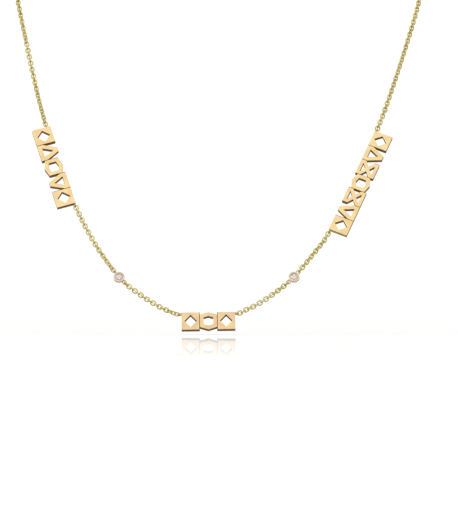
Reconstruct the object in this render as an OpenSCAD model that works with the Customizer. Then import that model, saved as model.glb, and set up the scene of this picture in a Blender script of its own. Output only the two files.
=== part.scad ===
// Nameplate necklace: three pierced plates and two bezel-set stones on a fine cable chain.
// It is held as it is worn. Lengths are in millimetres, +Z is up and the front faces -Y.
// The origin is the middle of the neck opening, level with the clasp at the nape.

/* [Plates] */
// Width of one figure of the left plate, from seam to seam
left_pitch = 4.75; // [4.3:0.05:6]
// Width of one figure of the middle plate
middle_pitch = 4.6; // [4.3:0.05:6]
// Width of one figure of the right plate
right_pitch = 4.5; // [4.3:0.05:6]
// Height of the figures
figure_h = 5.0; // [4.6:0.1:6.5]
// Thickness of the plates
plate_t = 1.2; // [0.8:0.1:1.6]
// Width of the strokes of the frames
stroke = 1.1; // [0.8:0.05:1.25]
// Width of the strokes of the waisted figures
fine_stroke = 0.9; // [0.7:0.05:1]
// Metal left between the tips of a tile's lozenge and its sides
tip_wall = 0.75; // [0.5:0.05:1]
// Height of the feet by which peaks and waists meet their neighbours
foot_h = 1.3; // [1.2:0.05:1.5]
// Height of a hexagon's straight sides
flat_h = 3.5; // [3.2:0.1:3.7]
// Width of the flat top of a peak
crest_w = 1.2; // [0.8:0.1:1.6]
// Narrowest width of a waisted figure
waist_w = 1.5; // [1.2:0.1:1.8]
// How far two neighbouring figures run into each other
lap = 0.1; // [0.05:0.01:0.2]
// Width of the seam lines on the face
seam_w = 0.16; // [0.1:0.02:0.24]
// Depth of the seam lines
seam_depth = 0.12; // [0.06:0.02:0.3]

/* [Stones] */
// Diameter of a stone at its girdle
stone_d = 2.0; // [1.6:0.05:2.2]
// Diameter of the table, the flat top facet
table_d = 1.14; // [0.9:0.02:1.2]
// Height of the crown, from girdle to table
crown_h = 0.3; // [0.2:0.02:0.4]
// Thickness of the girdle
girdle_t = 0.06; // [0.04:0.01:0.1]
// Depth of the pavilion, from girdle to point
pavilion_h = 0.8; // [0.6:0.02:0.82]

/* [Bezels] */
// Wall of a bezel beside the stone
bezel_wall = 0.42; // [0.3:0.02:0.6]
// Height of a bezel
bezel_h = 1.3; // [1.3:0.05:1.8]
// How far the rim reaches in over the stone
rim_cover = 0.1; // [0.08:0.01:0.16]
// Height of the rim's edge above the girdle
rim_h = 0.42; // [0.36:0.01:0.42]
// Width of the top of the rim, with its chamfer. From there the wall slopes in to the stone.
rim_w = 0.24; // [0.18:0.02:0.28]
// Chamfer round the top of a bezel
bezel_chamfer = 0.1; // [0.06:0.02:0.14]
// How much a bezel's foot is drawn in
bezel_taper = 0.28; // [0:0.02:0.3]
// How far a bezel hangs below the line through its rings
bezel_drop = 0.2; // [0:0.05:0.3]
// Width of the ledge under the stone
seat_w = 0.3; // [0.2:0.02:0.4]
// Clearance between a stone and its bezel
stone_gap = 0.05; // [0.03:0.01:0.08]

/* [Soldered rings] */
// Outer diameter of the rings on plates and bezels
ring_d = 1.3; // [1.2:0.05:1.6]
// Wire of these rings
ring_wire = 0.3; // [0.2:0.02:0.36]
// How far the middle of a ring stands off the edge that it is soldered to
ring_stand = 0.45; // [0.4:0.01:0.5]
// Depth of the rings below the top edge of a plate
ring_drop = 0.3; // [0.25:0.05:1]
// Depth of the upper ring of the left plate, which sits lower than the others
low_ring_drop = 1; // [0.25:0.05:1.2]

/* [Chain] */
// Outer length of a link
link_l = 1.79; // [1.6:0.01:1.9]
// Outer width of a link
link_w = 1.44; // [1.36:0.02:1.56]
// Wire of a link
link_wire = 0.33; // [0.24:0.01:0.36]
// Clearance where one link passes through the next
link_gap = 0.14; // [0.1:0.01:0.16]
// Chain from the middle plate to the left bezel, between their rings
inner_left_run = 17.5; // [12:0.5:20]
// Chain from the middle plate to the right bezel
inner_right_run = 16.6; // [12:0.5:20]
// Chain from the left bezel to the left plate
lower_left_run = 22.2; // [15:0.5:26]
// Chain from the right bezel to the right plate
lower_right_run = 14.7; // [10:0.5:20]
// Chain above each of the side plates, over the collar bones
upper_run = 67.5; // [50:0.5:80]

/* [Clasp] */
// Outer diameter of the clasp's ring
clasp_d = 5.6; // [4.5:0.1:7]
// Thickness of the clasp's ring
clasp_wire = 1.1; // [0.8:0.05:1.4]
// Outer diameter of the eye that the chain's end hangs in
eye_d = 1.8; // [1.6:0.1:2.4]
// Wire of the eye
eye_wire = 0.4; // [0.3:0.05:0.5]
// Length of the thumb tab
tab_l = 0.9; // [0.5:0.1:1.4]
// Diameter of the thumb tab
tab_d = 0.7; // [0.5:0.05:0.8]
// Outer diameter of the end ring that the clasp closes on
end_ring_d = 3.4; // [2.8:0.1:4.5]
// Wire of the end ring
end_ring_wire = 0.5; // [0.3:0.05:0.6]

/* [Fit] */
// Slope of the chest, from upright
chest_slope = 27; // [15:1:40]

/* [Hidden] */
// Where the chain runs, as points [across, up the chest, back from the chest plane].
// The loop starts below the middle plate, climbs the right side and comes back down the left.
route = [
    [0, 0, 0],
    [7.3, 0.15, 0],
    [10.2, 1.5, 0],
    [13.2, 3.15, 0],
    [18, 6.8, 0],
    [22.2, 10.8, 0],
    [28.1, 18.6, 0],
    [31.5, 24, 0],
    [37.9, 39, 0],
    [44.6, 54.9, 0],
    [48.4, 66.2, 0],
    [52.5, 79.9, 0],
    [56, 93, 0],
    [58.2, 105, 0.5],
    [59, 116.5, 3],
    [58, 126.5, 8.5],
    [54.5, 134.5, 16],
    [48.5, 141, 24],
    [40.5, 146, 31.5],
    [30, 149.5, 37.5],
    [16, 151.8, 42],
    [0, 152.6, 43.6],
    [-16, 151.8, 42],
    [-29.5, 149.5, 37.5],
    [-39.5, 146, 31.5],
    [-47, 141, 24],
    [-52, 134.5, 16],
    [-54.4, 126.5, 8.5],
    [-54.6, 116.5, 3],
    [-53.1, 105, 0.5],
    [-50.9, 93, 0],
    [-48.4, 80.2, 0],
    [-45.7, 67, 0],
    [-42.8, 55.2, 0],
    [-38.9, 43, 0],
    [-34.9, 31.8, 0],
    [-29.5, 20.4, 0],
    [-23.2, 10.8, 0],
    [-18, 5.9, 0],
    [-12.8, 2.25, 0],
    [-10, 0.8, 0],
    [-7.3, -0.1, 0]
];
nape = 21; // place of the nape in the route
route_steps = 10; // short straight pieces between two points of the route

// Figures of each plate, in the order in which they hang from left to right
left_figures = ["tile", "peak", "hexagon", "dip", "tile"];
middle_figures = ["tile", "hexagon", "tile"];
right_figures = ["tile", "peak", "waist", "hexagon", "waist", "dip", "tile"];

bore_r = stone_d / 2 + stone_gap;
bezel_r = bore_r + bezel_wall;
rim_r = stone_d / 2 - rim_cover;
girdle_z = bezel_h / 2 - rim_h;
crown_slope = crown_h / (stone_d - table_d) * 2;
lip_z = girdle_z + stone_gap + (bore_r - rim_r) * crown_slope;
pavilion_slope = pavilion_h / stone_d * 2;
seat_r = bore_r - seat_w;
half_share = 0.24; // how far out the lower halves of a stone begin, of its radius
round_fn = 48;

// Spacing of two neighbouring link centres, and of a link from the rings that it hangs in
link_pitch = link_l - 2 * link_wire - link_gap;
ring_to_link = ring_reach(ring_d, ring_wire) + link_reach() - link_gap;
end_ring_to_clasp = ring_reach(end_ring_d, end_ring_wire) + ring_reach(clasp_d, clasp_wire) - link_gap;
eye_to_clasp = clasp_d / 2 + eye_d / 2 - eye_wire;
tube_d = link_w;
tube_sides = 8;
tube_step = 2.5 * tube_d;

bezel_span = 2 * sqrt((bezel_r + ring_stand) ^ 2 - bezel_drop ^ 2);
left_drops = [low_ring_drop, ring_drop];
plain_drops = [ring_drop, ring_drop];

// Turn of the links out of their usual quarter turns, as [link number, degrees]
inner_left_turn = [
    [0, 14], [1, 22], [2, 29], [4, 35], [6, 32], [9, 25], [12, 1], [14, -8], [16, -2]
];
lower_left_turn = [
    [0, 10], [1, 20], [2, 26], [4, 27], [6, 31], [8, 30], [10, 27], [12, 20], [15, 7], [18, -6], [21, -2]
];
upper_left_turn = [
    [0, 14], [1, 24], [3, 31], [6, 45], [10, 56], [13, 67], [16, 71], [18, 81], [24, 84], [27, 130],
    [29, 142], [33, 150], [36, 153], [67, 180]
];
inner_right_turn = [
    [0, 14], [1, 27], [2, 34], [3, 33], [5, 24], [7, 20], [9, 26], [11, 33], [13, 35], [14, 26], [15, 10]
];
lower_right_turn = [[0, 8], [1, 22], [2, 34], [4, 40], [10, 40], [11, 34], [12, 22], [13, 8]];
upper_right_turn = [
    [0, 10], [1, 22], [3, 22], [8, 27], [13, 36], [20, 41], [22, 44], [26, 37], [30, 31], [38, 31], [67, 0]
];

function unit(v) = v / norm(v);
function ring_reach(d, wire) = d / 2 - wire;
function link_reach() = link_l / 2 - link_wire;

// A point of the route in space, with the neck opening round the origin
function tilted(p) = [
    p.x,
    p.y * sin(chest_slope) + p.z * cos(chest_slope),
    p.y * cos(chest_slope) - p.z * sin(chest_slope)
];
neck_middle = [0, tilted(route[nape]).y / 2, tilted(route[nape]).z];
chest_normal = [0, -cos(chest_slope), sin(chest_slope)];

// Smooth curve through four points of the route, between the second and the third
function curve(a, b, c, d, t) =
    (2 * b + (c - a) * t + (2 * a - 5 * b + 4 * c - d) * t ^ 2 + (3 * b - a - 3 * c + d) * t ^ 3) / 2;
function route_point(i) = tilted(route[(i + len(route)) % len(route)]) - neck_middle;
rightward = [
    for (i = [0 : len(route) - 1], k = [0 : route_steps - 1])
        curve(route_point(i - 1), route_point(i), route_point(i + 1), route_point(i + 2), k / route_steps),
    route_point(0)
];
path_end = len(rightward) - 1;
leftward = [for (i = [path_end : -1 : 0]) rightward[i]];

// A place on a path is [number of its stretch, point]. These find the next one, a chord of d away.
function seek(path, i, p, d) = norm(path[i + 1] - p) >= d ? i : seek(path, i + 1, p, d);
function chord_end(a, b, p, d) =
    let (u = b - a, v = a - p, root = sqrt((u * v) ^ 2 - (u * u) * (v * v - d * d)))
    a + u * (root - u * v) / (u * u);
function advance(path, place, d) =
    let (i = seek(path, place[0], place[1], d))
    [i, chord_end(path[i], path[i + 1], place[1], d)];
function flipped(place) = [path_end - 1 - place[0], place[1]];

// Links in a run of chain between two rings, and their places
function link_count(run, rings) = max(2, round((run - rings * ring_to_link) / link_pitch) + 1);
function links_from(path, ring, count) = [
    for (
        i = 0, at = advance(path, ring, ring_to_link);
        i < count;
        i = i + 1, at = advance(path, at, link_pitch)
    )
        at
];
function last(list) = list[len(list) - 1];

// Distance between the rings of a plate, and how far the line through them leans from its edge
function plate_length(figures, pitch) = len(figures) * pitch + lap;
function plate_span(figures, pitch, drops) =
    norm([plate_length(figures, pitch) + 2 * ring_stand, drops[0] - drops[1]]);
function plate_lean(figures, pitch, drops) =
    atan2(drops[0] - drops[1], plate_length(figures, pitch) + 2 * ring_stand);

middle_span = plate_span(middle_figures, middle_pitch, plain_drops);
left_span = plate_span(left_figures, left_pitch, left_drops);
right_span = plate_span(right_figures, right_pitch, plain_drops);

// Rings and links of the left side, from the middle plate outwards
middle_ring_a = advance(leftward, [0, leftward[0]], middle_span / 2);
inner_left = links_from(leftward, middle_ring_a, link_count(inner_left_run, 2));
left_bezel_a = advance(leftward, last(inner_left), ring_to_link);
left_bezel_b = advance(leftward, left_bezel_a, bezel_span);
lower_left = links_from(leftward, left_bezel_b, link_count(lower_left_run, 2));
left_plate_a = advance(leftward, last(lower_left), ring_to_link);
left_plate_b = advance(leftward, left_plate_a, left_span);
upper_left = links_from(leftward, left_plate_b, link_count(upper_run, 1));

// Rings and links of the right side
middle_ring_b = advance(rightward, [0, middle_ring_a[1]], middle_span);
inner_right = links_from(rightward, middle_ring_b, link_count(inner_right_run, 2));
right_bezel_a = advance(rightward, last(inner_right), ring_to_link);
right_bezel_b = advance(rightward, right_bezel_a, bezel_span);
lower_right = links_from(rightward, right_bezel_b, link_count(lower_right_run, 2));
right_plate_a = advance(rightward, last(lower_right), ring_to_link);
right_plate_b = advance(rightward, right_plate_a, right_span);
upper_right = links_from(rightward, right_plate_b, link_count(upper_run, 1));

// The clasp and its end ring at the nape, and the two ends of the hidden chain beside them
nape_place = [nape * route_steps, route_point(nape)];
eye_place = advance(rightward, nape_place, eye_to_clasp);
end_ring_place = advance(leftward, [path_end - nape_place[0], nape_place[1]], end_ring_to_clasp);
back_left_end = advance(rightward, eye_place, eye_d / 2 + link_gap);
back_right_end = advance(leftward, end_ring_place, end_ring_d / 2 + link_gap);

// Moves a piece to p, its X axis along the vector d and its Z axis as near to facing out as can be
module placed(p, d) {
    x = unit(d);
    z = unit(chest_normal - (chest_normal * x) * x);
    y = cross(z, x);
    multmatrix([
        [x.x, y.x, z.x, p.x],
        [x.y, y.y, z.y, p.y],
        [x.z, y.z, z.z, p.z],
        [0, 0, 0, 1]
    ])
        children();
}

module wire_ring(d, wire) {
    rotate_extrude($fn = round_fn)
        translate([(d - wire) / 2, 0])
            circle(d = wire, $fn = round_fn / 2);
}

// Outline of one figure of a plate, round the middle of its cell
module figure_outline(name, pitch) {
    w = (pitch + lap) / 2;
    h = figure_h / 2;
    if (name == "tile")
        polygon([[-w, -h], [w, -h], [w, h], [-w, h]]);
    if (name == "hexagon")
        polygon([[-w, -flat_h / 2], [0, -h], [w, -flat_h / 2], [w, flat_h / 2], [0, h], [-w, flat_h / 2]]);
    if (name == "peak")
        polygon([
            [-w, -h], [w, -h], [w, foot_h - h], [crest_w / 2, h], [-crest_w / 2, h], [-w, foot_h - h]
        ]);
    if (name == "waist")
        polygon([
            [-w, -h], [w, -h], [w, foot_h - h], [waist_w / 2, 0], [w, h - foot_h],
            [w, h], [-w, h], [-w, h - foot_h], [-waist_w / 2, 0], [-w, foot_h - h]
        ]);
}

// Opening of one figure, the same stroke inside its outline all round
module figure_opening(name, pitch) {
    w = (pitch + lap) / 2;
    h = figure_h / 2;
    if (name == "tile")
        polygon([[-w + tip_wall, 0], [0, tip_wall - h], [w - tip_wall, 0], [0, h - tip_wall]]);
    if (name == "hexagon") {
        rise = (h - flat_h / 2) / w;
        tip = h - stroke * sqrt(1 + rise ^ 2);
        side = w - stroke;
        polygon([
            [-side, side * rise - tip], [0, -tip], [side, side * rise - tip],
            [side, tip - side * rise], [0, tip], [-side, tip - side * rise]
        ]);
    }
    if (name == "peak") {
        lean = (w - crest_w / 2) / (2 * h - foot_h);
        inset = stroke * sqrt(1 + lean ^ 2);
        floor_y = stroke - h;
        half = w - inset - (floor_y - foot_h + h) * lean;
        polygon([[-half, floor_y], [half, floor_y], [0, floor_y + half / lean]]);
    }
    if (name == "waist") {
        lean = (w - waist_w / 2) / (h - foot_h);
        inset = fine_stroke * sqrt(1 + lean ^ 2);
        top_y = h - fine_stroke;
        half = waist_w / 2 + top_y * lean - inset;
        for (side = [-1, 1])
            polygon([[-half, side * top_y], [half, side * top_y], [0, side * (top_y - half / lean)]]);
    }
}

// One plate with its rings. Its rings lie on the X axis, the first at the origin.
module plate(figures, pitch, drops) {
    length = plate_length(figures, pitch);
    rotate([0, 0, -plate_lean(figures, pitch, drops)])
        translate([ring_stand, drops[0] - figure_h / 2, 0]) {
            difference() {
                union()
                    for (i = [0 : len(figures) - 1])
                        figure_at(i, figures[i], pitch, plate_t)
                            figure_outline(upright(figures[i]), pitch);
                for (i = [0 : len(figures) - 1])
                    figure_at(i, figures[i], pitch, plate_t * 2)
                        figure_opening(upright(figures[i]), pitch);
                for (i = [1 : len(figures) - 1])
                    translate([lap / 2 + i * pitch, 0, plate_t / 2])
                        seam();
            }
            for (end = [0, 1])
                translate([end * length + (2 * end - 1) * ring_stand, figure_h / 2 - drops[end], 0])
                    rotate([90, 0, 0])
                        wire_ring(ring_d, ring_wire);
        }
}

// A dip is a peak upside down
function upright(name) = name == "dip" ? "peak" : name;

module figure_at(i, name, pitch, thickness) {
    translate([lap / 2 + (i + 0.5) * pitch, 0, -thickness / 2])
        mirror([0, name == "dip" ? 1 : 0, 0])
            linear_extrude(thickness)
                children();
}

// V-shaped cut along the face where two figures meet
module seam() {
    rotate([90, 0, 0])
        translate([0, 0, -figure_h])
            linear_extrude(2 * figure_h)
                polygon([[-seam_w, seam_depth], [0, -seam_depth], [seam_w, seam_depth]]);
}

module plate_between(a, b, figures, pitch, drops) {
    color([0.92, 0.8, 0.58])
        placed(a, b - a)
            plate(figures, pitch, drops);
}

// A bezel with a soldered ring on either side, turned by the two angles about the chain
module bezel(turn_a, turn_b) {
    translate([0, -bezel_drop, 0])
        rotate_extrude($fn = round_fn)
            polygon([
                [seat_r, -bezel_h / 2],
                [bezel_r - bezel_taper, -bezel_h / 2],
                [bezel_r, 0],
                [bezel_r, bezel_h / 2 - bezel_chamfer],
                [bezel_r - bezel_chamfer, bezel_h / 2],
                [bezel_r - rim_w, bezel_h / 2],
                [rim_r, lip_z + rim_cover / 2],
                [rim_r, lip_z],
                [bore_r, girdle_z + stone_gap],
                [bore_r, girdle_z - girdle_t - stone_gap],
                [seat_r, girdle_z - girdle_t - stone_gap - (bore_r - seat_r) * pavilion_slope]
            ]);
    translate([-bezel_span / 2, 0, 0])
        rotate([turn_a, 0, 0])
            wire_ring(ring_d, ring_wire);
    translate([bezel_span / 2, 0, 0])
        rotate([turn_b, 0, 0])
            wire_ring(ring_d, ring_wire);
}

module bezel_between(a, b, turn_a, turn_b) {
    color([0.89, 0.71, 0.56])
        placed((a + b) / 2, b - a)
            bezel(turn_a, turn_b);
}

// A brilliant cut: table, stars, kites and upper halves above the girdle, mains and lower halves below
module brilliant() {
    r = stone_d / 2;
    star_r = (table_d / 2 + r) / 2 / cos(22.5);
    star_z = crown_h - (star_r * cos(22.5) - table_d / 2) * crown_slope;
    half_r = r * half_share;
    half_z = -girdle_t - pavilion_h + half_r * cos(22.5) * pavilion_slope;
    points = [
        for (k = [0 : 7]) [table_d / 2 * cos(k * 45), table_d / 2 * sin(k * 45), crown_h],
        for (k = [0 : 7]) [star_r * cos(k * 45 + 22.5), star_r * sin(k * 45 + 22.5), star_z],
        for (k = [0 : 15]) [r * cos(k * 22.5), r * sin(k * 22.5), 0],
        for (k = [0 : 15]) [r * cos(k * 22.5), r * sin(k * 22.5), -girdle_t],
        for (k = [0 : 7]) [half_r * cos(k * 45 + 22.5), half_r * sin(k * 45 + 22.5), half_z],
        [0, 0, -girdle_t - pavilion_h]
    ];
    table = 0;
    star = 8;
    upper = 16;
    lower = 32;
    half = 48;
    culet = 56;
    faces = [
        [for (k = [7 : -1 : 0]) table + k],
        for (k = [0 : 7]) [table + k, table + (k + 1) % 8, star + k],
        for (k = [0 : 7]) [table + k, star + k, upper + 2 * k],
        for (k = [0 : 7]) [table + k, upper + 2 * k, star + (k + 7) % 8],
        for (k = [0 : 7]) [star + k, upper + 2 * k + 1, upper + 2 * k],
        for (k = [0 : 7]) [star + k, upper + (2 * k + 2) % 16, upper + 2 * k + 1],
        for (k = [0 : 15]) [upper + k, upper + (k + 1) % 16, lower + (k + 1) % 16],
        for (k = [0 : 15]) [upper + k, lower + (k + 1) % 16, lower + k],
        for (k = [0 : 7]) [half + k, lower + 2 * k, lower + 2 * k + 1],
        for (k = [0 : 7]) [half + k, lower + 2 * k + 1, lower + (2 * k + 2) % 16],
        for (k = [0 : 7]) [culet, lower + 2 * k, half + k],
        for (k = [0 : 7]) [culet, half + (k + 7) % 8, lower + 2 * k]
    ];
    polyhedron(points, faces);
}

module stone_between(a, b) {
    color([0.95, 0.92, 0.94])
        placed((a + b) / 2, b - a)
            translate([0, -bezel_drop, girdle_z])
                brilliant();
}

// One link: two half rings joined by short straight sides
module link() {
    bend_r = (link_w - link_wire) / 2;
    straight = link_l - link_w;
    for (end = [-1, 1])
        translate([end * straight / 2, 0, 0])
            rotate([0, 0, -end * 90])
                rotate_extrude(angle = 180, $fn = round_fn / 2)
                    translate([bend_r, 0])
                        circle(d = link_wire, $fn = round_fn / 2);
    for (side = [-1, 1])
        translate([-straight / 2, side * bend_r, 0])
            rotate([0, 90, 0])
                cylinder(d = link_wire, h = straight, $fn = round_fn / 2);
}

// Quarter turns along a run of chain. Both its end links lie square to the rings that they hang in.
function quarter_turns(i, count, start, finish) =
    let (spare = ((finish - start - 90 * (count - 1)) % 180 + 180) % 180)
    start + 90 * i + (spare > 90 ? spare - 180 : spare) * i / (count - 1);

module chain(places, start, finish, turn) {
    count = len(places);
    color([0.86, 0.76, 0.42])
        for (i = [0 : count - 1]) {
            before = places[max(0, i - 1)][1];
            after = places[min(count - 1, i + 1)][1];
            placed(places[i][1], after - before)
                rotate([quarter_turns(i, count, start, finish) + lookup(i, turn), 0, 0])
                    link();
        }
}

// Length along the path up to a place on it
function stretch(i) = i < path_end ? norm(rightward[i + 1] - rightward[i]) : 0;
lengths = [for (i = 0, s = 0; i <= path_end; s = s + stretch(i), i = i + 1) s];
function along(place) = lengths[place[0]] + norm(place[1] - rightward[place[0]]);
function point_along(s) = [
    for (axis = [0 : 2])
        lookup(s, [for (i = [0 : path_end]) [lengths[i], rightward[i][axis]]])
];

// The hidden chain at the back, as a tube of the chain's width from one place to another
module chain_tube(from, to) {
    s_a = along(from);
    s_b = along(to);
    rings = ceil((s_b - s_a) / tube_step);
    points = [
        for (i = [0 : rings])
            let (
                s = s_a + (s_b - s_a) * i / rings,
                p = point_along(s),
                x = unit(point_along(s + tube_d) - point_along(s - tube_d)),
                z = unit(chest_normal - (chest_normal * x) * x),
                y = cross(z, x)
            )
            for (k = [0 : tube_sides - 1])
                p + tube_d / 2 * (cos(k * 360 / tube_sides) * y + sin(k * 360 / tube_sides) * z)
    ];
    faces = [
        [for (k = [0 : tube_sides - 1]) k],
        for (i = [0 : rings - 1], k = [0 : tube_sides - 1])
            let (n = (k + 1) % tube_sides, a = i * tube_sides, b = a + tube_sides)
            [a + k, b + k, b + n, a + n],
        [for (k = [tube_sides - 1 : -1 : 0]) rings * tube_sides + k]
    ];
    color([0.86, 0.76, 0.42])
        polyhedron(points, faces);
}

// Where the hidden chain takes over from the links, clear of the last one
function after_links(path, links) = advance(path, last(links), link_l / 2 + link_gap);

module left_plate() {
    plate_between(left_plate_b[1], left_plate_a[1], left_figures, left_pitch, left_drops);
}

module middle_plate() {
    plate_between(middle_ring_a[1], middle_ring_b[1], middle_figures, middle_pitch, plain_drops);
}

module right_plate() {
    plate_between(right_plate_a[1], right_plate_b[1], right_figures, right_pitch, plain_drops);
}

module left_bezel() {
    bezel_between(left_bezel_b[1], left_bezel_a[1], 90, 0);
}

module right_bezel() {
    bezel_between(right_bezel_a[1], right_bezel_b[1], 0, 0);
}

module left_stone() {
    stone_between(left_bezel_b[1], left_bezel_a[1]);
}

module right_stone() {
    stone_between(right_bezel_a[1], right_bezel_b[1]);
}

module inner_left_chain() {
    chain(inner_left, 0, 90, inner_left_turn);
}

module lower_left_chain() {
    chain(lower_left, 0, 0, lower_left_turn);
}

module upper_left_chain() {
    chain(upper_left, 0, 90, upper_left_turn);
}

module inner_right_chain() {
    chain(inner_right, 0, 90, inner_right_turn);
}

module lower_right_chain() {
    chain(lower_right, 90, 0, lower_right_turn);
}

module upper_right_chain() {
    chain(upper_right, 0, 90, upper_right_turn);
}

module back_left_chain() {
    chain_tube(back_left_end, flipped(after_links(leftward, upper_left)));
}

module back_right_chain() {
    chain_tube(after_links(rightward, upper_right), flipped(back_right_end));
}

// Plain spring ring with the eye that the chain's end hangs in, and its thumb tab
module clasp() {
    color([0.88, 0.76, 0.5])
        placed(nape_place[1], eye_place[1] - nape_place[1]) {
            rotate([0, 0, 70])
                wire_ring(clasp_d, clasp_wire);
            translate([eye_to_clasp, 0, 0])
                wire_ring(eye_d, eye_wire);
            rotate([0, 0, 135])
                translate([(clasp_d - clasp_wire) / 2, 0, 0])
                    rotate([0, 90, 0])
                        cylinder(d = tab_d, h = clasp_wire / 2 + tab_l, $fn = round_fn / 2);
        }
}

module end_ring() {
    color([0.88, 0.76, 0.5])
        placed(end_ring_place[1], end_ring_place[1] - nape_place[1])
            rotate([90, 0, 0])
                wire_ring(end_ring_d, end_ring_wire);
}

left_plate();
middle_plate();
right_plate();
left_bezel();
right_bezel();
left_stone();
right_stone();
inner_left_chain();
lower_left_chain();
upper_left_chain();
inner_right_chain();
lower_right_chain();
upper_right_chain();
back_left_chain();
back_right_chain();
clasp();
end_ring();
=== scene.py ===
from math import atan2, cos, pi, radians, sin, sqrt

import bmesh
import bpy
from mathutils import Matrix, Vector


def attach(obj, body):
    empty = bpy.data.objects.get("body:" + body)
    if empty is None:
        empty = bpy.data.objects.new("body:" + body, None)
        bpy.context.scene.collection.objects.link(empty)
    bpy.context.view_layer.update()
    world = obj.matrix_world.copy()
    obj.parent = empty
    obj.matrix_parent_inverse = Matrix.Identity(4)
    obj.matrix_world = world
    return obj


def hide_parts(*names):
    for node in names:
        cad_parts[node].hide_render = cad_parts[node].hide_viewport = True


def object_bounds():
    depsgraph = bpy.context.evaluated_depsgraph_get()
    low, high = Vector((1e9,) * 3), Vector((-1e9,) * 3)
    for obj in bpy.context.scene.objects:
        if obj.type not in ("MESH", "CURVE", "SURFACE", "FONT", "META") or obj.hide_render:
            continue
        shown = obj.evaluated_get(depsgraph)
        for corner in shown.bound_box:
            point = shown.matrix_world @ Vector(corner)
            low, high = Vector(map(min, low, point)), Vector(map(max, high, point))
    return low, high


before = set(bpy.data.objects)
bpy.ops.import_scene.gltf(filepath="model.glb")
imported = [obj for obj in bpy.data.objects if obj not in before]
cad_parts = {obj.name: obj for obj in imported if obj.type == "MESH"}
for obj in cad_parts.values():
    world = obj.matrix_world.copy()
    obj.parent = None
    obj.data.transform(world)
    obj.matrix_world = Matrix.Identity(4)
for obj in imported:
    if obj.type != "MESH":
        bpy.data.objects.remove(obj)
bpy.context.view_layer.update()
scene = bpy.context.scene
mm = 0.001  # the necklace is worked out in millimetres, and each piece is made metres at the end

# Route of the chain: across, up the chest, back from the chest plane.
# It starts below the middle plate, climbs the right side and comes back down the left.
route = {
    "slope": 27,   # lean of the chest, in degrees
    "nape": 21,    # which of the points is the nape
    "steps": 10,   # straight pieces between two points
    "points": [
        (0, 0, 0), (7.3, 0.15, 0), (10.2, 1.5, 0), (13.2, 3.15, 0), (18, 6.8, 0), (22.2, 10.8, 0),
        (28.1, 18.6, 0), (31.5, 24, 0), (37.9, 39, 0), (44.6, 54.9, 0), (48.4, 66.2, 0), (52.5, 79.9, 0),
        (56, 93, 0), (58.2, 105, 0.5), (59, 116.5, 3), (58, 126.5, 8.5), (54.5, 134.5, 16),
        (48.5, 141, 24), (40.5, 146, 31.5), (30, 149.5, 37.5), (16, 151.8, 42), (0, 152.6, 43.6),
        (-16, 151.8, 42), (-29.5, 149.5, 37.5), (-39.5, 146, 31.5), (-47, 141, 24), (-52, 134.5, 16),
        (-54.4, 126.5, 8.5), (-54.6, 116.5, 3), (-53.1, 105, 0.5), (-50.9, 93, 0), (-48.4, 80.2, 0),
        (-45.7, 67, 0), (-42.8, 55.2, 0), (-38.9, 43, 0), (-34.9, 31.8, 0), (-29.5, 20.4, 0),
        (-23.2, 10.8, 0), (-18, 5.9, 0), (-12.8, 2.25, 0), (-10, 0.8, 0), (-7.3, -0.1, 0),
    ],
}

lean = radians(route["slope"])
chestNormal = Vector((0, -cos(lean), sin(lean)))


def inSpace(point):
    across, up, back = point
    return Vector((across, up * sin(lean) + back * cos(lean), up * cos(lean) - back * sin(lean)))


napePoint = inSpace(route["points"][route["nape"]])
neckMiddle = Vector((0, napePoint.y / 2, napePoint.z))


def smoothLoop():
    # a smooth closed curve through all the points, in short straight pieces
    points = [inSpace(p) - neckMiddle for p in route["points"]]
    path = []
    for i in range(len(points)):
        a, b, c, d = (points[(i + k) % len(points)] for k in (-1, 0, 1, 2))
        for k in range(route["steps"]):
            t = k / route["steps"]
            path.append((2 * b + (c - a) * t + (2 * a - 5 * b + 4 * c - d) * t ** 2
                         + (3 * b - a - 3 * c + d) * t ** 3) / 2)
    return path + [points[0]]


def advance(path, place, reach):
    # the next place on the path, a straight reach away
    i, p = place
    while (path[i + 1] - p).length < reach:
        i += 1
    u = path[i + 1] - path[i]
    v = path[i] - p
    root = sqrt(u.dot(v) ** 2 - u.dot(u) * (v.dot(v) - reach * reach))
    return i, path[i] + u * ((root - u.dot(v)) / u.dot(u))


def placed(p, direction):
    # X along the chain, Z as near to facing out as it can be
    x = direction.normalized()
    z = (chestNormal - chestNormal.dot(x) * x).normalized()
    return Matrix.Translation(p) @ Matrix((x, z.cross(x), z)).transposed().to_4x4()


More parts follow.
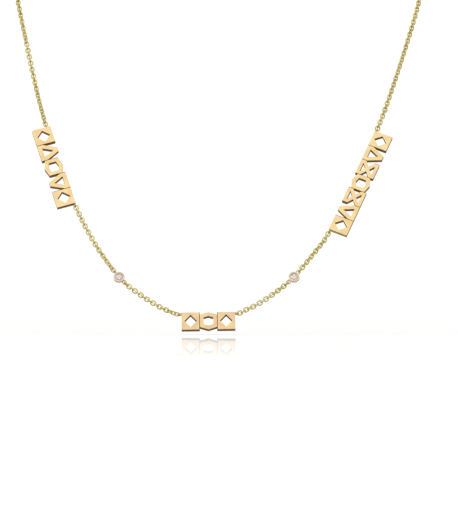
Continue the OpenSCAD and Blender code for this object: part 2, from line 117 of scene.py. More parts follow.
# Sizes of the chain and of what hangs on it, the same as the solids have. Around and sides say how
# finely a piece is made, and edges sharper than sharpFrom, in degrees, stay sharp.
link = {
    "length": 1.79, "width": 1.44, "wire": 0.33,
    "gap": 0.14,          # clearance where one link passes through the next
    "bendSteps": 6, "sides": 6,
}
ring = {
    "outer": 1.3, "wire": 0.3,
    "stand": 0.45,        # from its middle to the edge that it is soldered to
    "around": 24, "sides": 10,
}
plate = {
    "height": 5.0, "thickness": 1.2,
    "lap": 0.1,           # how far neighbouring figures run into each other
    # drops are how far its left and its right ring lie below the top edge
    "left": {"figures": 5, "pitch": 4.75, "drops": (1, 0.3)},
    "middle": {"figures": 3, "pitch": 4.6, "drops": (0.3, 0.3)},
    "right": {"figures": 7, "pitch": 4.5, "drops": (0.3, 0.3)},
}
bezel = {
    "stone": 2.0, "table": 1.14,                     # diameters of the stone and of its flat top
    "crown": 0.3, "girdle": 0.06, "pavilion": 0.8,   # heights of its three parts
    "stoneGap": 0.05,     # clearance between stone and bezel
    "wall": 0.42, "height": 1.3,
    "cover": 0.1,         # how far the rim reaches in over the stone
    "rim": 0.42,          # height of the rim above the girdle
    "rimWidth": 0.24,     # width of its top, with the chamfer
    "rimEdge": (0.04, 0.03), "footEdge": 0.03,       # edges that the polishing took off
    "chamfer": 0.1,
    "chamferMiddle": 0.3,  # how far in the middle of its rounding lies, as a share of it
    "taper": 0.28,        # how much the foot is drawn in
    "seat": 0.3,          # width of the ledge under the stone
    "drop": 0.2,          # how far it hangs below the line through its rings
    "around": 56, "sharpFrom": 32,
}
clasp = {
    "outer": 5.6, "wire": 1.1, "around": 64, "sides": 18,
    "eye": 1.8, "eyeWire": 0.4, "eyeAround": 32, "eyeSides": 12,
    "tab": 0.9, "tabWidth": 0.7, "tabRound": 0.12, "tabSides": 20,
    "tabTurn": 135,       # degrees round the ring, from the eye
    "endRing": 3.4, "endWire": 0.5, "endAround": 40, "endSides": 14,
    "sharpFrom": 50,
}
# Lengths of the chain that shows, between its rings
runs = {"innerLeft": 17.5, "innerRight": 16.6, "lowerLeft": 22.2, "lowerRight": 14.7, "upper": 67.5}
# The pitch of the hidden chain may give this share of itself, and is found in so many halvings
hidden = {"give": 0.03, "halvings": 40}

linkPitch = link["length"] - 2 * link["wire"] - link["gap"]
linkReach = link["length"] / 2 - link["wire"] - link["gap"]
ringToLink = ring["outer"] / 2 - ring["wire"] + linkReach
bezelRadius = bezel["stone"] / 2 + bezel["stoneGap"] + bezel["wall"]
bezelSpan = 2 * sqrt((bezelRadius + ring["stand"]) ** 2 - bezel["drop"] ** 2)


def plateLength(side):
    return side["figures"] * side["pitch"] + plate["lap"]


def plateSteps(side):
    # from ring to ring: along the plate and down
    return plateLength(side) + 2 * ring["stand"], side["drops"][0] - side["drops"][1]


def plateSpan(side):
    return Vector(plateSteps(side)).length


def linkCount(run, rings):
    # how many links come nearest to the run, which hangs in one ring or two
    return max(2, round((run - rings * ringToLink) / linkPitch) + 1)


def linksFrom(path, start, count, pitch=linkPitch, first=ringToLink):
    # one link after the other, the first of them hanging in a ring or as far off as it is told
    places = [advance(path, start, first)]
    while len(places) < count:
        places.append(advance(path, places[-1], pitch))
    return places


def linksBetween(path, last, end, reach):
    # the hidden stretch: as many links as fit, their pitch eased so that the last one hangs right
    count = 0
    place = last
    while (end - place[1]).length > reach + linkPitch / 2:
        place = advance(path, place, linkPitch)
        count += 1
    low, high = linkPitch * (1 - hidden["give"]), linkPitch * (1 + hidden["give"])
    for _ in range(hidden["halvings"]):
        pitch = (low + high) / 2
        place = last
        for _ in range(count):
            place = advance(path, place, pitch)
        if (place[1] - end).length > reach:
            low = pitch
        else:
            high = pitch
    return linksFrom(path, last, count, pitch, pitch)


rightward = smoothLoop()
leftward = rightward[::-1]
pathEnd = len(rightward) - 1
napeAt = route["nape"] * route["steps"]

# Places of rings and links, outwards from the middle plate. A is the ring of a piece that comes first
# on the way, and B its other ring. The middle plate has A on its left.
at = {}
at["middleA"] = advance(leftward, (0, leftward[0]), plateSpan(plate["middle"]) / 2)
at["innerLeft"] = linksFrom(leftward, at["middleA"], linkCount(runs["innerLeft"], 2))
at["leftBezelA"] = advance(leftward, at["innerLeft"][-1], ringToLink)
at["leftBezelB"] = advance(leftward, at["leftBezelA"], bezelSpan)
at["lowerLeft"] = linksFrom(leftward, at["leftBezelB"], linkCount(runs["lowerLeft"], 2))
at["leftPlateA"] = advance(leftward, at["lowerLeft"][-1], ringToLink)
at["leftPlateB"] = advance(leftward, at["leftPlateA"], plateSpan(plate["left"]))
at["upperLeft"] = linksFrom(leftward, at["leftPlateB"], linkCount(runs["upper"], 1))

at["middleB"] = advance(rightward, (0, at["middleA"][1]), plateSpan(plate["middle"]))
at["innerRight"] = linksFrom(rightward, at["middleB"], linkCount(runs["innerRight"], 2))
at["rightBezelA"] = advance(rightward, at["innerRight"][-1], ringToLink)
at["rightBezelB"] = advance(rightward, at["rightBezelA"], bezelSpan)
at["lowerRight"] = linksFrom(rightward, at["rightBezelB"], linkCount(runs["lowerRight"], 2))
at["rightPlateA"] = advance(rightward, at["lowerRight"][-1], ringToLink)
at["rightPlateB"] = advance(rightward, at["rightPlateA"], plateSpan(plate["right"]))
at["upperRight"] = linksFrom(rightward, at["rightPlateB"], linkCount(runs["upper"], 1))

claspToEye = clasp["outer"] / 2 + clasp["eye"] / 2 - clasp["eyeWire"]
claspToEnd = clasp["outer"] / 2 - clasp["wire"] + clasp["endRing"] / 2 - clasp["endWire"] - link["gap"]
at["clasp"] = (napeAt, rightward[napeAt])
at["eye"] = advance(rightward, at["clasp"], claspToEye)
at["endRing"] = advance(leftward, (pathEnd - napeAt, rightward[napeAt]), claspToEnd)

eyeReach = clasp["eye"] / 2 - clasp["eyeWire"] + linkReach
endReach = clasp["endRing"] / 2 - clasp["endWire"] + linkReach
at["backLeft"] = linksBetween(leftward, at["upperLeft"][-1], at["eye"][1], eyeReach)
at["backRight"] = linksBetween(rightward, at["upperRight"][-1], at["endRing"][1], endReach)
print("route laid:", {name: len(places) for name, places in at.items() if isinstance(places, list)})


# Materials

def linear(code):
    # sRGB hex to linear colour
    channels = [int(code[i:i + 2], 16) / 255 for i in (1, 3, 5)]
    return (*[c / 12.92 if c <= 0.04045 else ((c + 0.055) / 1.055) ** 2.4 for c in channels], 1)


def addNode(tree, kind, values=None, links=None, **settings):
    node = tree.nodes.new(kind)
    for name, value in settings.items():
        setattr(node, name, value)
    for name, value in (values or {}).items():
        node.inputs[name].default_value = value
    for name, source in (links or {}).items():
        tree.links.new(source, node.inputs[name])
    return node


def newMaterial(name):
    material = bpy.data.materials.new(name)
    material.use_nodes = True
    material.node_tree.nodes.clear()
    return material, material.node_tree


def finishMaterial(tree, values, links):
    shader = addNode(tree, "ShaderNodeBsdfPrincipled", values, links)
    addNode(tree, "ShaderNodeOutputMaterial", links={"Surface": shader.outputs["BSDF"]})


# A noise texture keeps near 0.5, so these stretch the middle of it over the whole change
crispRange = {"From Min": 0.35, "From Max": 0.65}
softRange = {"From Min": 0.3, "From Max": 0.7}


def tones(look):
    return {"A": linear(look["light"]), "B": linear(look["deep"])}


def glossRange(look):
    smooth, rough = look["roughness"]
    return {**softRange, "To Min": smooth, "To Max": rough}


def lappedGold(name, look):
    # 14 carat gold, lapped flat and polished: warm, nearly mirror-bright, with hairline marks along it.
    # Real marks are a few hundredths of a millimetre apart, and are drawn coarser so that they show.
    material, tree = newMaterial(name)
    uv = addNode(tree, "ShaderNodeTexCoord").outputs["UV"]  # the plates' UV maps are in millimetres
    patches = addNode(tree, "ShaderNodeTexNoise", {"Scale": 1 / look["patch"], "Detail": 2}, {"Vector": uv})
    stretch = (1 / look["run"], 1 / look["hairline"], 1)
    along = addNode(tree, "ShaderNodeMapping", {"Scale": stretch}, {"Vector": uv})
    marks = {"Scale": 1, "Detail": 3, "Roughness": 0.7}
    lines = addNode(tree, "ShaderNodeTexNoise", marks, {"Vector": along.outputs[0]}).outputs[0]
    tone = addNode(tree, "ShaderNodeMapRange", crispRange, {"Value": patches.outputs[0]})
    colour = addNode(tree, "ShaderNodeMix", tones(look), {"Factor": tone.outputs[0]}, data_type="RGBA")
    gloss = addNode(tree, "ShaderNodeMapRange", glossRange(look), {"Value": lines})
    relief = addNode(tree, "ShaderNodeBump", {"Strength": 0.03, "Distance": 0.02 * mm}, {"Height": lines})
    finishMaterial(tree, {"Metallic": 1}, {
        "Base Color": colour.outputs["Result"], "Roughness": gloss.outputs[0], "Normal": relief.outputs[0]})
    return material


def cutGold(name, look):
    # the same gold where the saw or laser left it: matt, with lines through the thickness,
    # which are drawn coarser than real ones so that they show. Its darker, browner colour is painted
    # shade: the dark that the walls mirror, and the shade in the seams' grooves
    material, tree = newMaterial(name)
    uv = addNode(tree, "ShaderNodeTexCoord").outputs["UV"]
    stretch = (1 / look["line"], 1 / look["run"], 1)
    through = addNode(tree, "ShaderNodeMapping", {"Scale": stretch}, {"Vector": uv})
    marks = {"Scale": 1, "Detail": 2, "Roughness": 0.6}
    lines = addNode(tree, "ShaderNodeTexNoise", marks, {"Vector": through.outputs[0]}).outputs[0]
    tone = addNode(tree, "ShaderNodeMapRange", softRange, {"Value": lines})
    colour = addNode(tree, "ShaderNodeMix", tones(look), {"Factor": tone.outputs[0]}, data_type="RGBA")
    relief = addNode(tree, "ShaderNodeBump", {"Strength": 0.3, "Distance": 0.03 * mm}, {"Height": lines})
    finishMaterial(tree, {"Metallic": 1, "Roughness": look["roughness"]}, {
        "Base Color": colour.outputs["Result"], "Normal": relief.outputs[0]})
    return material


def goldMetal(name, look):
    # cast or drawn gold, tumbled bright: a soft tarnish mottles its colour and its gloss
    material, tree = newMaterial(name)
    place = addNode(tree, "ShaderNodeTexCoord").outputs["Object"]
    patches = {"Scale": 1 / (look["patch"] * mm), "Detail": 3}
    mottle = addNode(tree, "ShaderNodeTexNoise", patches, {"Vector": place}).outputs[0]
    tone = addNode(tree, "ShaderNodeMapRange", crispRange, {"Value": mottle})
    colour = addNode(tree, "ShaderNodeMix", tones(look), {"Factor": tone.outputs[0]}, data_type="RGBA")
    gloss = addNode(tree, "ShaderNodeMapRange", glossRange(look), {"Value": mottle})
    finishMaterial(tree, {"Metallic": 1}, {
        "Base Color": colour.outputs["Result"], "Roughness": gloss.outputs[0]})
    return material


def cutStone(name, look):
    # cubic zirconia, brilliant cut and polished: clear and hard, with flat facets that throw light back
    material, tree = newMaterial(name)
    place = addNode(tree, "ShaderNodeTexCoord").outputs["Object"]
    patches = {"Scale": 1 / (look["patch"] * mm), "Detail": 1}
    veil = addNode(tree, "ShaderNodeTexNoise", patches, {"Vector": place})
    colour = addNode(tree, "ShaderNodeMix", tones(look), {"Factor": veil.outputs[0]}, data_type="RGBA")
    finishMaterial(tree, {
        "Roughness": look["roughness"], "IOR": look["ior"], "Transmission Weight": look["clear"],
    }, {"Base Color": colour.outputs["Result"]})
    return material


# Two tones of each, and in millimetres the size of its patches and the width and length of its lines
yellowFace = lappedGold("polishedYellowGold", {
    "light": "#FCE3AC", "deep": "#F6D59C", "patch": 3,
    "hairline": 0.12, "run": 4, "roughness": (0.22, 0.3)})
peachFace = lappedGold("polishedPeachGold", {
    "light": "#F5DDA2", "deep": "#EFC9A0", "patch": 2.5,
    "hairline": 0.12, "run": 4, "roughness": (0.22, 0.3)})
# plate walls: the darker, browner colour is painted shade, standing in for the dark that they mirror
paintedShadeWall = cutGold("cutGoldEdgePaintedShade", {
    "light": "#BE9560", "deep": "#926C44", "line": 0.14, "run": 2.5, "roughness": 0.5})
# seams: the dark colour is painted shade in the V-grooves
paintedShadeSeam = cutGold("grooveGoldPaintedShade", {
    "light": "#84622F", "deep": "#624522", "line": 0.2, "run": 2.5, "roughness": 0.6})
chainGold = goldMetal("drawnYellowGold", {
    "light": "#F3E389", "deep": "#E5CF6B", "patch": 2.2, "roughness": (0.26, 0.4)})
ringGold = goldMetal("solderedYellowGold", {
    "light": "#E6CB80", "deep": "#D7B766", "patch": 1.5, "roughness": (0.18, 0.3)})
bezelGold = goldMetal("polishedRoseGold", {
    "light": "#FDEBD2", "deep": "#F4DAB8", "patch": 1.2, "roughness": (0.14, 0.26)})
claspGold = goldMetal("castYellowGold", {
    "light": "#EBCF86", "deep": "#DDBC6C", "patch": 2.0, "roughness": (0.16, 0.26)})
pinkStone = cutStone("palePinkStone", {
    "light": "#FBEAF3", "deep": "#EFD5E5", "patch": 1.0, "roughness": 0.02, "ior": 2.1, "clear": 0.35})
clearStone = cutStone("colourlessStone", {
    "light": "#F6F6EE", "deep": "#E5E6DB", "patch": 1.0, "roughness": 0.02, "ior": 2.1, "clear": 0.4})
print("materials made")


# Shapes that several pieces use

def addShape(target, shape, matrix):
    # copies one bmesh into another, moved by the matrix
    mesh = bpy.data.meshes.new("shape")
    shape.to_mesh(mesh)
    mesh.transform(matrix)
    target.from_mesh(mesh)
    bpy.data.meshes.remove(mesh)


def finishPiece(name, bm, materials, replaced):
    # millimetres to metres, then an object that rides on the part in the place of its solid
    bmesh.ops.scale(bm, vec=(mm, mm, mm), verts=bm.verts)
    mesh = bpy.data.meshes.new(name)
    bm.to_mesh(mesh)
    bm.free()
    for material in materials:
        mesh.materials.append(material)
    piece = bpy.data.objects.new(name, mesh)
    scene.collection.objects.link(piece)
    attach(piece, "root")
    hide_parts(replaced)
    return piece


merge = {"sweep": 1e-4, "plate": 2e-4}  # millimetres within which two vertices are one


def closeAndSmooth(bm):
    # merges the two ends of a sweep and smooths it
    bmesh.ops.remove_doubles(bm, verts=bm.verts, dist=merge["sweep"])
    bmesh.ops.recalc_face_normals(bm, faces=bm.faces)
    for face in bm.faces:
        face.smooth = True


def wireRing(outer, wire, around, sides):
    bm = bmesh.new()
    turn = Matrix.Translation(((outer - wire) / 2, 0, 0)) @ Matrix.Rotation(pi / 2, 4, "X")
    section = bmesh.ops.create_circle(bm, segments=sides, radius=wire / 2, matrix=turn)["verts"]
    bmesh.ops.spin(bm, geom=section + bm.edges[:], axis=(0, 0, 1), cent=(0, 0, 0), angle=2 * pi,
                   steps=around, use_merge=True)
    closeAndSmooth(bm)
    return bm


# Chain

def chainLink():
    # a wire section run along a side, spun round one end, run back and spun round the other
    bm = bmesh.new()
    bend = (link["width"] - link["wire"]) / 2
    side = link["length"] - link["width"]
    # the section has flat sides, and is on average as wide as the round wire
    corner = link["wire"] * pi / 2 / link["sides"] / sin(pi / link["sides"])
    turn = Matrix.Translation((-side / 2, bend, 0)) @ Matrix.Rotation(pi / 2, 4, "Y")
    bmesh.ops.create_circle(bm, segments=link["sides"], radius=corner, matrix=turn)
    edges = bm.edges[:]
    for end in (1, -1):
        grown = bmesh.ops.extrude_edge_only(bm, edges=edges)["geom"]
        corners = [v for v in grown if isinstance(v, bmesh.types.BMVert)]
        bmesh.ops.translate(bm, vec=(end * side, 0, 0), verts=corners)
        rim = [e for e in grown if isinstance(e, bmesh.types.BMEdge) and all(v in corners for v in e.verts)]
        spun = bmesh.ops.spin(bm, geom=rim + corners, cent=(end * side / 2, 0, 0), axis=(0, 0, 1),
                              angle=-pi, steps=link["bendSteps"])
        edges = [e for e in spun["geom_last"] if isinstance(e, bmesh.types.BMEdge)]
    closeAndSmooth(bm)
    return bm


oneLink = chainLink()
linkMesh = bpy.data.meshes.new("link")
oneLink.to_mesh(linkMesh)
print("link:", len(linkMesh.polygons), "faces, closed:", all(e.is_manifold for e in oneLink.edges))
oneLink.free()


def lookup(table, i):
    # straight lines between the pairs of a table
    for (a, low), (b, high) in zip(table, table[1:]):
        if i <= b:
            return low + (high - low) * (i - a) / (b - a)
    return table[-1][1]


def quarterTurns(i, count, start, finish):
    # a quarter turn from each link to the next, and what is left over shared out among them
    spare = (finish - start - 90 * (count - 1)) % 180
    return start + 90 * i + (spare - 180 if spare > 90 else spare) * i / (count - 1)


def makeChain(name, places, start, finish, table, replaced):
    # one link at each place, turned about the chain
    bm = bmesh.new()
    count = len(places)
    for i in range(count):
        before, after = places[max(0, i - 1)][1], places[min(count - 1, i + 1)][1]
        roll = radians(quarterTurns(i, count, start, finish) + lookup(table, i))
        copy = linkMesh.copy()
        copy.transform(placed(places[i][1], after - before) @ Matrix.Rotation(roll, 4, "X"))
        bm.from_mesh(copy)
        bpy.data.meshes.remove(copy)
    return finishPiece(name, bm, [chainGold], replaced)


# Turns out of the usual quarter turns, as link number and degrees
turns = {
    "innerLeft": [(0, 14), (1, 22), (2, 29), (4, 35), (6, 32), (9, 25), (12, 1), (14, -8), (16, -2)],
    "lowerLeft": [(0, 10), (1, 20), (2, 26), (4, 27), (6, 31), (8, 30), (10, 27), (12, 20), (15, 7),
                  (18, -6), (21, -2)],
    "innerRight": [(0, 14), (1, 27), (2, 34), (3, 33), (5, 24), (7, 20), (9, 26), (11, 33), (13, 35),
                   (14, 26), (15, 10)],
    "lowerRight": [(0, 8), (1, 22), (2, 34), (4, 40), (10, 40), (11, 34), (12, 22), (13, 8)],
    "upperLeft": [(0, 14), (1, 24), (3, 31), (6, 45), (10, 56), (13, 67), (16, 71), (18, 81), (24, 84),
                  (27, 130), (29, 142), (33, 150), (36, 153), (67, 180)],
    "upperRight": [(0, 10), (1, 22), (3, 22), (8, 27), (13, 36), (20, 41), (22, 44), (26, 37), (30, 31),
                   (38, 31), (67, 0)],
    "hidden": [(0, 0), (1, 0)],
}
makeChain("innerLeftChain", at["innerLeft"], 0, 90, turns["innerLeft"], "inner_left_chain")
makeChain("lowerLeftChain", at["lowerLeft"], 0, 0, turns["lowerLeft"], "lower_left_chain")
makeChain("upperLeftChain", at["upperLeft"], 0, 90, turns["upperLeft"], "upper_left_chain")
makeChain("innerRightChain", at["innerRight"], 0, 90, turns["innerRight"], "inner_right_chain")
makeChain("lowerRightChain", at["lowerRight"], 90, 0, turns["lowerRight"], "lower_right_chain")
makeChain("upperRightChain", at["upperRight"], 0, 90, turns["upperRight"], "upper_right_chain")


def backChain(name, key, upperKey, finish, replaced):
    # goes on with the turns where the upper run left off
    count = len(at[upperKey])
    last = quarterTurns(count - 1, count, 0, 90) + lookup(turns[upperKey], count - 1)
    makeChain(name, at[key], (last + 90) % 180, finish, turns["hidden"], replaced)


backChain("backLeftChain", "backLeft", "upperLeft", 90, "back_left_chain")
backChain("backRightChain", "backRight", "upperRight", 0, "back_right_chain")
bpy.data.meshes.remove(linkMesh)
print("chain made")


# Plates: the solids' own meshes, merged, their face edges rounded and the walls told from the faces

faceSlot, wallSlot, ringSlot, seamSlot = range(4)
# Lengths are in millimetres. Up is out of the front of a plate that lies flat.
dressing = {
    "edgeRound": 0.07,           # worn edge round the face
    "ringSpace": 0.12,           # edges nearer than this to a ring stay sharp
    "ringMargin": 0.05,          # curved faces nearer than this to a ring's outside belong to it
    "seamSlope": (0.45, 0.65),   # the normals of a seam's slopes point up between these
    "seamBelow": 0.04,           # and their middles lie at least this far below the front
    "wallLean": 0.3,             # what points up less than this is finished as a wall
    "upright": 0.01,             # a true wall points up less than this
    "level": 0.999,              # and the front and the back more than this
    "flat": 0.5,                 # degrees within which neighbouring faces are one
    "sliver": 3e-3,              # edges shorter than this are taken out
}


def plateHome(a, b, side):
    # takes a plate that lies flat, its left edge at the origin, to where it hangs by its two rings
    along, fall = plateSteps(side)
    edge = Matrix.Translation((ring["stand"], side["drops"][0] - plate["height"] / 2, 0))
    return placed(a, b - a) @ Matrix.Rotation(-atan2(fall, along), 4, "Z") @ edge


def dressPlate(name, nodeName, a, b, side, faceGold):
    home = plateHome(a, b, side)
    top = plate["height"] / 2
    rings = [Vector((-ring["stand"], top - side["drops"][0], 0)),
             Vector((plateLength(side) + ring["stand"], top - side["drops"][1], 0))]

    def toRing(point):
        # how far a point is from the nearer ring's outside
        return min((point - r).length for r in rings) - ring["outer"] / 2

    def inRing(face):
        near = toRing(face.calc_center_median()) < dressing["ringMargin"]
        return near and abs(face.normal.z) < dressing["level"]

    def inSeam(face):
        # a slope of the V-shaped cut
        low, high = dressing["seamSlope"]
        below = plate["thickness"] / 2 - face.calc_center_median().z
        return low < face.normal.z < high and below > dressing["seamBelow"]

    def isWall(face):
        return abs(face.normal.z) < dressing["wallLean"]

    def isFaceEdge(edge):
        # a right angle between the front or the back and a wall, clear of the rings
        if len(edge.link_faces) != 2 or any(inRing(f) for f in edge.link_faces):
            return False
        wallUp, faceUp = sorted(abs(f.normal.z) for f in edge.link_faces)
        clear = min(toRing(v.co) for v in edge.verts) > dressing["ringSpace"]
        return wallUp < dressing["upright"] and faceUp > dressing["level"] and clear

    bm = bmesh.new()
    bm.from_mesh(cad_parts[nodeName].data)
    bmesh.ops.scale(bm, vec=(1 / mm, 1 / mm, 1 / mm), verts=bm.verts)
    bmesh.ops.transform(bm, matrix=home.inverted(), verts=bm.verts)
    bmesh.ops.remove_doubles(bm, verts=bm.verts, dist=merge["plate"])
    bmesh.ops.dissolve_limit(bm, angle_limit=radians(dressing["flat"]), verts=bm.verts, edges=bm.edges)
    edges = [e for e in bm.edges if isFaceEdge(e)]
    bmesh.ops.bevel(bm, geom=edges, offset=dressing["edgeRound"], offset_type="OFFSET", segments=2,
                    profile=0.5, affect="EDGES", clamp_overlap=False, material=-1)
    bmesh.ops.dissolve_degenerate(bm, dist=dressing["sliver"], edges=bm.edges)

    uv = bm.loops.layers.uv.new("plateMm")
    for face in bm.faces:
        wall = isWall(face)
        # walls and seam slopes take the darker golds, whose colour is painted shade
        slot = ringSlot if inRing(face) else seamSlot if inSeam(face) else wallSlot if wall else faceSlot
        face.material_index = slot
        face.smooth = slot == ringSlot
        for loop in face.loops:
            p = loop.vert.co
            along = p.x if abs(face.normal.y) > abs(face.normal.x) else p.y
            loop[uv].uv = (along, p.z) if wall else (p.x, p.y)
    bmesh.ops.transform(bm, matrix=home, verts=bm.verts)
    print(name, len(bm.faces), "faces,", len(edges), "edges rounded,",
          sum(not e.is_manifold for e in bm.edges), "open edges")
    return finishPiece(name, bm, [faceGold, paintedShadeWall, ringGold, paintedShadeSeam], nodeName)


for name, nodeName, first, last, side, faceGold in (
    ("leftPlate", "left_plate", "leftPlateB", "leftPlateA", "left", yellowFace),
    ("middlePlate", "middle_plate", "middleA", "middleB", "middle", peachFace),
    ("rightPlate", "right_plate", "rightPlateA", "rightPlateB", "right", yellowFace),
):
    dressPlate(name, nodeName, at[first][1], at[last][1], plate[side], faceGold)
print("plates dressed")


# Bezels: a turned profile with two soldered rings

def bezelProfile():
    # half the section as radius and height, from the foot up the outside and down to the stone's seat
    half = bezel["height"] / 2
    bore = bezel["stone"] / 2 + bezel["stoneGap"]
    seat = bore - bezel["seat"]
    foot, footEdge = bezelRadius - bezel["taper"], bezel["footEdge"]
    chamfer = bezel["chamfer"]
    chamferMiddle = chamfer * bezel["chamferMiddle"]
    rimTop = bezelRadius - bezel["rimWidth"]
    rimEdgeWidth, rimEdgeDepth = bezel["rimEdge"]
    rim = bezel["stone"] / 2 - bezel["cover"]
    girdleTop = half - bezel["rim"] + bezel["stoneGap"]
    girdleFoot = half - bezel["rim"] - bezel["girdle"] - bezel["stoneGap"]
    lip = girdleTop + (bore - rim) * 2 * bezel["crown"] / (bezel["stone"] - bezel["table"])
    seatDepth = (bore - seat) * 2 * bezel["pavilion"] / bezel["stone"]
    return [
        (seat, -half), (foot - footEdge, -half), (foot, -half + footEdge), (bezelRadius, 0),
        (bezelRadius, half - chamfer), (bezelRadius - chamferMiddle, half - chamferMiddle),
        (bezelRadius - chamfer, half), (rimTop, half), (rimTop - rimEdgeWidth, half - rimEdgeDepth),
        (rim, lip + bezel["cover"] / 2), (rim, lip),
        (bore, girdleTop), (bore, girdleFoot), (seat, girdleFoot - seatDepth),
    ]


def makeBezel(name, nodeName, a, b, turnA, turnB):
    body = bmesh.new()
    corners = [body.verts.new((r, 0, z)) for r, z in bezelProfile()]
    for i, corner in enumerate(corners):
        body.edges.new((corner, corners[(i + 1) % len(corners)]))
    bmesh.ops.spin(body, geom=body.verts[:] + body.edges[:], cent=(0, 0, 0), axis=(0, 0, 1), angle=2 * pi,
                   steps=bezel["around"], use_merge=True)
    closeAndSmooth(body)
    small = wireRing(ring["outer"], ring["wire"], ring["around"], ring["sides"])
    for face in small.faces:
        face.material_index = 1
    bm = bmesh.new()
    addShape(bm, body, Matrix.Translation((0, -bezel["drop"], 0)))
    for side, turn in ((-1, turnA), (1, turnB)):
        beside = Matrix.Translation((side * bezelSpan / 2, 0, 0))
        addShape(bm, small, beside @ Matrix.Rotation(radians(turn), 4, "X"))
    body.free()
    small.free()
    bmesh.ops.transform(bm, matrix=placed((a + b) / 2, b - a), verts=bm.verts)
    piece = finishPiece(name, bm, [bezelGold, ringGold], nodeName)
    piece.data.set_sharp_from_angle(angle=radians(bezel["sharpFrom"]))
    return piece


makeBezel("leftBezel", "left_bezel", at["leftBezelB"][1], at["leftBezelA"][1], 90, 0)
makeBezel("rightBezel", "right_bezel", at["rightBezelA"][1], at["rightBezelB"][1], 0, 0)
for nodeName, material in (("left_stone", pinkStone), ("right_stone", clearStone)):
    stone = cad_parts[nodeName]
    stone.data.materials.clear()
    stone.data.materials.append(material)
print("bezels and stones done")


# Clasp: a plain spring ring with its eye and its thumb tab, and the end ring that it closes on

def thumbTab():
    tab = bmesh.new()
    radius = clasp["tabWidth"] / 2
    bmesh.ops.create_cone(tab, cap_ends=True, segments=clasp["tabSides"], radius1=radius, radius2=radius,
                          depth=clasp["wire"] / 2 + clasp["tab"])
    top = [e for e in tab.edges if all(v.co.z > 0 for v in e.verts)]
    bmesh.ops.bevel(tab, geom=top, offset=clasp["tabRound"], segments=3, profile=0.5, affect="EDGES",
                    material=-1)
    for face in tab.faces:
        face.smooth = True
    return tab


def makeClasp():
    bm = bmesh.new()
    reach = (clasp["outer"] - clasp["wire"]) / 2 + (clasp["wire"] / 2 + clasp["tab"]) / 2
    outward = Matrix.Rotation(radians(clasp["tabTurn"]), 4, "Z") @ Matrix.Translation((reach, 0, 0))
    for shape, place in (
        (wireRing(clasp["outer"], clasp["wire"], clasp["around"], clasp["sides"]), Matrix()),
        (wireRing(clasp["eye"], clasp["eyeWire"], clasp["eyeAround"], clasp["eyeSides"]),
         Matrix.Translation((claspToEye, 0, 0))),
        (thumbTab(), outward @ Matrix.Rotation(pi / 2, 4, "Y")),
    ):
        addShape(bm, shape, place)
        shape.free()
    bmesh.ops.transform(bm, matrix=placed(at["clasp"][1], at["eye"][1] - at["clasp"][1]), verts=bm.verts)
    piece = finishPiece("springRing", bm, [claspGold], "clasp")
    piece.data.set_sharp_from_angle(angle=radians(clasp["sharpFrom"]))


def makeEndRing():
    end = wireRing(clasp["endRing"], clasp["endWire"], clasp["endAround"], clasp["endSides"])
    place = placed(at["endRing"][1], at["endRing"][1] - at["clasp"][1]) @ Matrix.Rotation(pi / 2, 4, "X")
    bmesh.ops.transform(end, matrix=place, verts=end.verts)
    finishPiece("endRing", end, [claspGold], "end_ring")


makeClasp()
makeEndRing()
print("clasp done")


# Floor: pale, just under the middle plate, polished beneath it and matt further off

floorLook = {
    "below": 0.8,             # millimetres under the lowest point
    "size": 0.7, "around": 96,
    "colour": "#F4F4F3", "roughness": 0.015,
    "gloss": 0.46,            # share of it that mirrors, beneath the plate
    "fade": (0.12, 0.54),     # metres from there to where the mirror starts to go, and to its end
}


def floorMaterial():
    # white acrylic glass: an even white under a mirror-clear sheen, which fades away from the plate.
    # It is seen from above only, so that nothing hides the necklace from below.
    material, tree = newMaterial("whiteAcrylic")
    matt = addNode(tree, "ShaderNodeBsdfDiffuse", {"Color": linear(floorLook["colour"])})
    sheen = addNode(tree, "ShaderNodeBsdfGlossy", {"Roughness": floorLook["roughness"]})
    clear = addNode(tree, "ShaderNodeBsdfTransparent")
    beneathPlate = (rightward[0] * mm).to_2d().to_3d()
    place = addNode(tree, "ShaderNodeTexCoord").outputs["Object"]
    away = addNode(tree, "ShaderNodeVectorMath", {1: beneathPlate}, {0: place}, operation="DISTANCE")
    near, far = floorLook["fade"]
    fade = {"From Min": near, "From Max": far, "To Min": floorLook["gloss"], "To Max": 0}
    gloss = addNode(tree, "ShaderNodeMapRange", fade, {"Value": away.outputs["Value"]})
    top = addNode(tree, "ShaderNodeMixShader", links={
        0: gloss.outputs[0], 1: matt.outputs[0], 2: sheen.outputs[0]})
    under = addNode(tree, "ShaderNodeNewGeometry").outputs["Backfacing"]
    oneSided = addNode(tree, "ShaderNodeMixShader", links={0: under, 1: top.outputs[0], 2: clear.outputs[0]})
    addNode(tree, "ShaderNodeOutputMaterial", links={"Surface": oneSided.outputs[0]})
    return material


def makeFloor():
    bm = bmesh.new()
    bmesh.ops.create_circle(bm, cap_ends=True, segments=floorLook["around"], radius=floorLook["size"])
    mesh = bpy.data.meshes.new("floor")
    bm.to_mesh(mesh)
    bm.free()
    mesh.materials.append(floorMaterial())
    floor = bpy.data.objects.new("floor", mesh)
    floor.location.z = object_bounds()[0][2] - floorLook["below"] * mm
    floor.visible_glossy = False  # the gold mirrors the studio's dark side instead
    scene.collection.objects.link(floor)


makeFloor()


# Lamps and surroundings: a broad soft light from above in front, darker below and behind, with a white
# backdrop for the camera

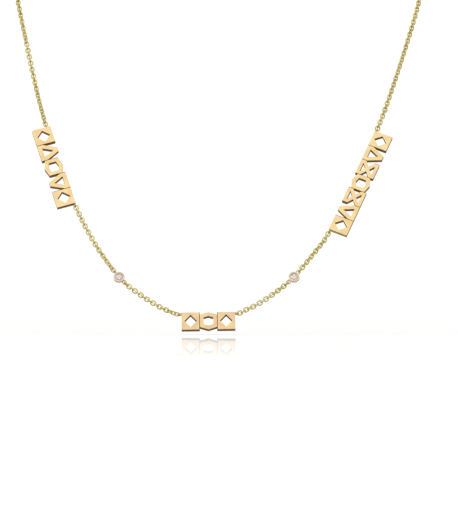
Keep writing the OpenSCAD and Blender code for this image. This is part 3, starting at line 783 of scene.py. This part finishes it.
lamps = {
    "floorLight": {"power": 39, "size": 3.0, "place": (0, 0, 2.2), "aim": (0, 0, -0.1)},
    "sparkle": {"power": 1.5, "size": 0.6, "place": (-1.1, -1.0, 0.9), "aim": (0, 0, -0.08)},
}
surroundings = {
    "softLight": (0, -0.588, 0.809),  # where the plates' faces mirror the camera to
    # brightness, from opposite the soft light to its middle, by the cosine of the angle between
    "glow": [(-1, 0.39), (-0.5, 0.4), (0, 0.43), (0.45, 0.6), (0.75, 0.95), (1, 1.0)],
    "card": (0.95, 0.985),            # cosines where the white card begins and where it is full
    "backdrop": 1.05,                 # brightness of what the camera sees behind
}


def makeLamp(name):
    # a round soft lamp
    lamp = lamps[name]
    light = bpy.data.lights.new(name, "AREA")
    light.shape = "DISK"
    light.size = lamp["size"]
    light.energy = lamp["power"]
    holder = bpy.data.objects.new(name, light)
    holder.location = lamp["place"]
    direction = Vector(lamp["aim"]) - Vector(lamp["place"])
    holder.rotation_euler = direction.to_track_quat("-Z", "Y").to_euler()
    scene.collection.objects.link(holder)
    return holder


def makeWorld():
    world = bpy.data.worlds.new("studio")
    world.use_nodes = True
    tree = world.node_tree
    tree.nodes.clear()
    direction = addNode(tree, "ShaderNodeTexCoord").outputs["Generated"]
    softLight = addNode(tree, "ShaderNodeVectorMath", {1: surroundings["softLight"]}, {0: direction},
                        operation="DOT_PRODUCT")
    share = addNode(tree, "ShaderNodeMapRange", {"From Min": -1}, {"Value": softLight.outputs["Value"]})
    ramp = addNode(tree, "ShaderNodeValToRGB", links={"Fac": share.outputs[0]})
    stops = ramp.color_ramp.elements
    while len(stops) < len(surroundings["glow"]):
        stops.new(0.5)
    for stop, (place, bright) in zip(stops, surroundings["glow"]):
        stop.position = (place + 1) / 2
        stop.color = (bright, bright, bright, 1)
    # a small white card straight behind and level with the necklace, for the floor to mirror
    card = addNode(tree, "ShaderNodeVectorMath", {1: (0, 1, 0)}, {0: direction}, operation="DOT_PRODUCT")
    cardEdge = dict(zip(("From Min", "From Max"), surroundings["card"]))
    onCard = addNode(tree, "ShaderNodeMapRange", cardEdge, {"Value": card.outputs["Value"]})
    withCard = addNode(tree, "ShaderNodeMix", {"B": (1, 1, 1, 1)}, {
        "Factor": onCard.outputs[0], "A": ramp.outputs[0]}, data_type="RGBA")
    around = addNode(tree, "ShaderNodeBackground", links={"Color": withCard.outputs["Result"]})
    white = {"Color": (1, 1, 1, 1), "Strength": surroundings["backdrop"]}
    behind = addNode(tree, "ShaderNodeBackground", white)
    seen = addNode(tree, "ShaderNodeLightPath").outputs["Is Camera Ray"]
    mix = addNode(tree, "ShaderNodeMixShader", links={0: seen, 1: around.outputs[0], 2: behind.outputs[0]})
    addNode(tree, "ShaderNodeOutputWorld", links={"Surface": mix.outputs[0]})
    scene.world = world


makeLamp("floorLight").visible_glossy = False  # it whitens the floor, and no metal mirrors it
makeLamp("sparkle")
makeWorld()
scene.view_settings.view_transform = "Standard"
scene.view_settings.look = "None"

# Camera: level, straight at the front, far enough away that the photo's perspective holds.
# It stands to the right of the middle plate's foot and above it, in millimetres.
view = {"distance": 1400, "right": 5.36, "up": 12.48, "imageHeight": 137.73, "sensor": 36}
cameraData = bpy.data.cameras.new("camera")
cameraData.sensor_fit = "VERTICAL"
cameraData.sensor_height = view["sensor"]
cameraData.lens = view["sensor"] * view["distance"] / view["imageHeight"]
camera = bpy.data.objects.new("camera", cameraData)
camera.location = (rightward[0] + Vector((view["right"], -view["distance"], view["up"]))) * mm
camera.rotation_euler = (pi / 2, 0, 0)
scene.collection.objects.link(camera)
scene.camera = camera
print("studio ready")
